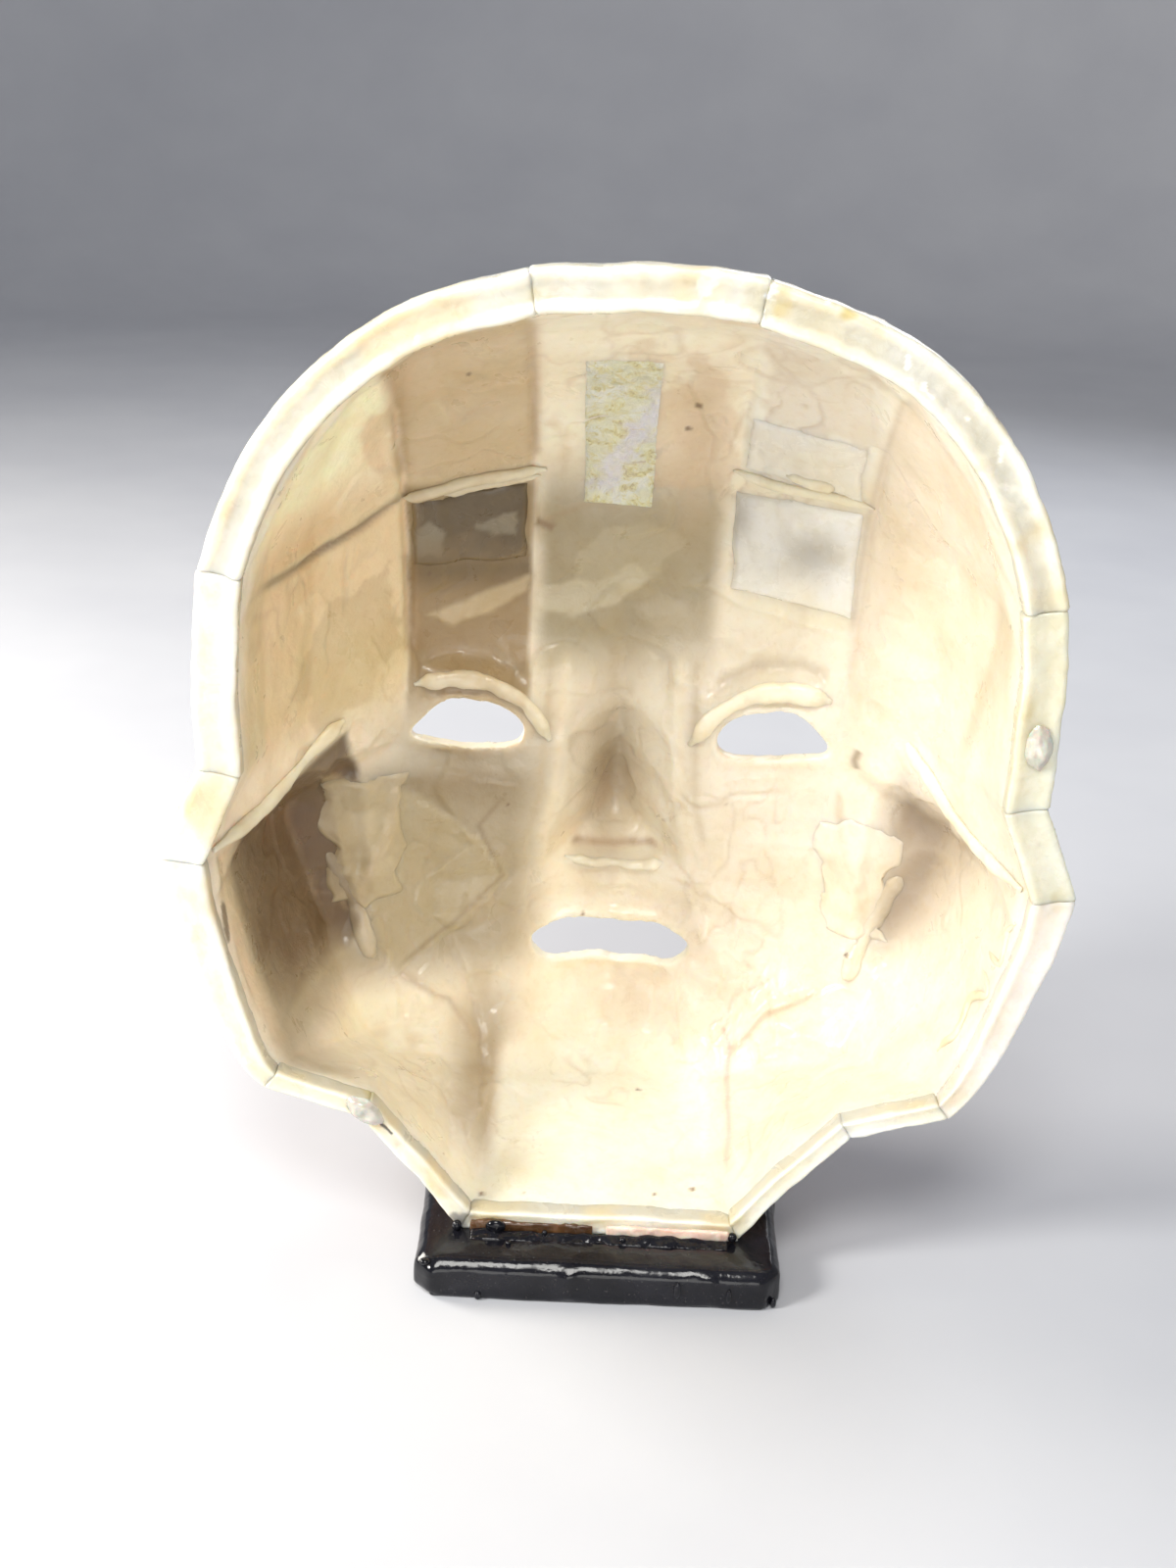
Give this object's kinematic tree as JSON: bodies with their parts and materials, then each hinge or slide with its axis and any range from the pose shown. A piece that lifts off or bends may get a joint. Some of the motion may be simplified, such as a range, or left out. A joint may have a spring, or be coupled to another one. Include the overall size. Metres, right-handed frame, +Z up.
{
  "type": "latex halloween mask",
  "caption": "Thick-walled latex half-head mask with eye and mouth openings, a jointed cut rim and inner laminations, standing by its chin on a black plinth.",
  "frame": {"origin": "middle of the plinth's bottom face", "axes": "+Z up from the chin to the crown, -Y the way the face looks, +X the wearer's left"},
  "size_m": [0.2174, 0.12, 0.2538],
  "materials": {
    "latex": "semi-matte aged cream latex, tan in the deep creases",
    "rim_latex": "pale translucent cut latex edge",
    "lamination": "thin semi-gloss latex lamination",
    "grey_lamination": "thin grey-brown latex lamination",
    "tape": "yellowed crinkled clear tape",
    "resin": "clear resin lump",
    "brown_glue": "dark brown hard glue",
    "pink_glue": "pale pink filler",
    "black_enamel": "glossy black enamel"
  },
  "bodies": {
    "root": {"mask_shell": "latex", "rim_crown": "rim_latex", "rim_foot": "rim_latex", "rim_head_left": "rim_latex", "rim_head_right": "rim_latex", "rim_temple_left": "rim_latex", "rim_temple_right": "rim_latex", "rim_wing_left": "rim_latex", "rim_wing_right": "rim_latex", "rim_cheek_left": "rim_latex", "rim_cheek_right": "rim_latex", "rim_jaw_left": "rim_latex", "rim_jaw_right": "rim_latex", "rim_chin_left": "rim_latex", "rim_chin_right": "rim_latex", "brow_ridge_left": "lamination", "brow_ridge_right": "lamination", "brow_patch_left": "grey_lamination", "brow_patch_right": "grey_lamination", "upper_patch_right": "grey_lamination", "cheek_patch_left": "lamination", "cheek_patch_right": "lamination", "tape_patch": "tape", "resin_blob_left": "resin", "resin_blob_right": "resin", "glue_bed": "brown_glue", "glue_strip_left": "brown_glue", "glue_strip_right": "pink_glue", "enamel_run": "black_enamel", "plinth": "black_enamel"}
  },
  "joints": []
}
